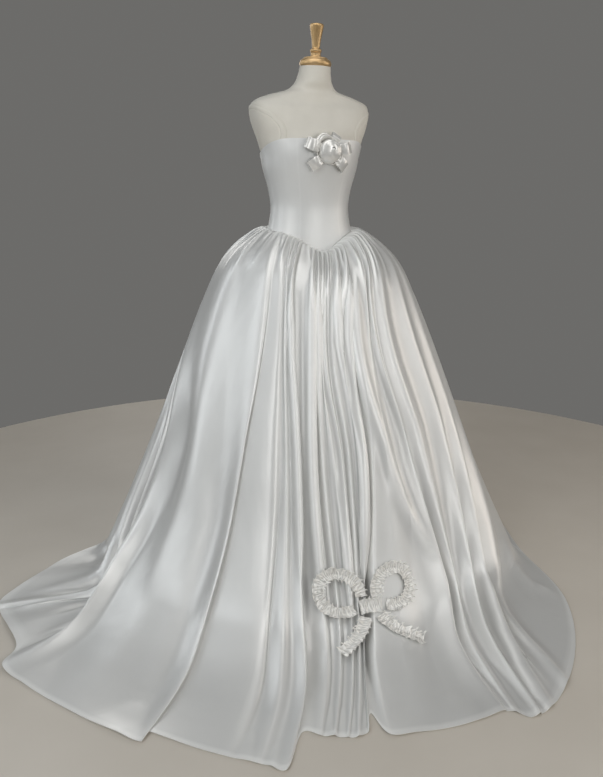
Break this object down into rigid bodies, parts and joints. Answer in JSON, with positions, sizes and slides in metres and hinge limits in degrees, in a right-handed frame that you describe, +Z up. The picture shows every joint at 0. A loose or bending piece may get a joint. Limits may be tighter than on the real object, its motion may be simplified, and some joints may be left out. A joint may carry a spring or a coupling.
{
  "type": "a-line wedding dress on a dress form",
  "caption": "Strapless white satin a-line wedding dress with basque waist, gathered full skirt, satin rosette and ruffle bow, worn by a limbless cream dress form.",
  "frame": {"origin": "centre of the stand base underside, on the floor straight under the pole", "axes": "+Z up, -Y towards the front of the dress, +X towards the left side of the wearer"},
  "size_m": [1.7173, 1.8433, 1.6037],
  "materials": {
    "satin_bodice": "smooth ivory white duchess satin, soft silky sheen",
    "satin_skirt": "ivory white satin, silky sheen along the folds, gathered at the waist",
    "satin_ribbon": "ivory white satin ribbon, glossier than the skirt",
    "ruffle_trim": "gathered ivory ribbon ruffle, matt to silky, raw soft edges",
    "form_linen": "cream cotton jersey stretched over the form, matt fine knit",
    "gold_metal": "polished warm gold, lightly worn",
    "stand_metal": "cream enamel, plain, semi-gloss"
  },
  "bodies": {
    "root": {"bodice_center_front": "satin_bodice", "bodice_side_front_left": "satin_bodice", "bodice_side_front_right": "satin_bodice", "bodice_side_back_left": "satin_bodice", "bodice_side_back_right": "satin_bodice", "bodice_back_left": "satin_bodice", "bodice_back_right": "satin_bodice", "skirt_front": "satin_skirt", "skirt_side_left": "satin_skirt", "skirt_side_right": "satin_skirt", "skirt_back_left": "satin_skirt", "skirt_back_right": "satin_skirt", "rose_core": "satin_ribbon", "rose_petal_1": "satin_ribbon", "rose_petal_2": "satin_ribbon", "rose_petal_3": "satin_ribbon", "ribbon_loop_upper_left": "satin_ribbon", "ribbon_loop_left": "satin_ribbon", "ribbon_loop_lower_left": "satin_ribbon", "ribbon_loop_right": "satin_ribbon", "ribbon_loop_lower_right": "satin_ribbon", "ruffle_loop_right": "ruffle_trim", "ruffle_loop_left": "ruffle_trim", "ruffle_knot": "ruffle_trim", "ruffle_tail_right": "ruffle_trim", "ruffle_tail_left": "ruffle_trim", "form_torso": "form_linen", "form_arm_plate_left": "form_linen", "form_arm_plate_right": "form_linen", "neck_cap": "gold_metal", "finial": "gold_metal", "stand_base": "stand_metal", "stand_pole": "stand_metal"}
  },
  "joints": []
}
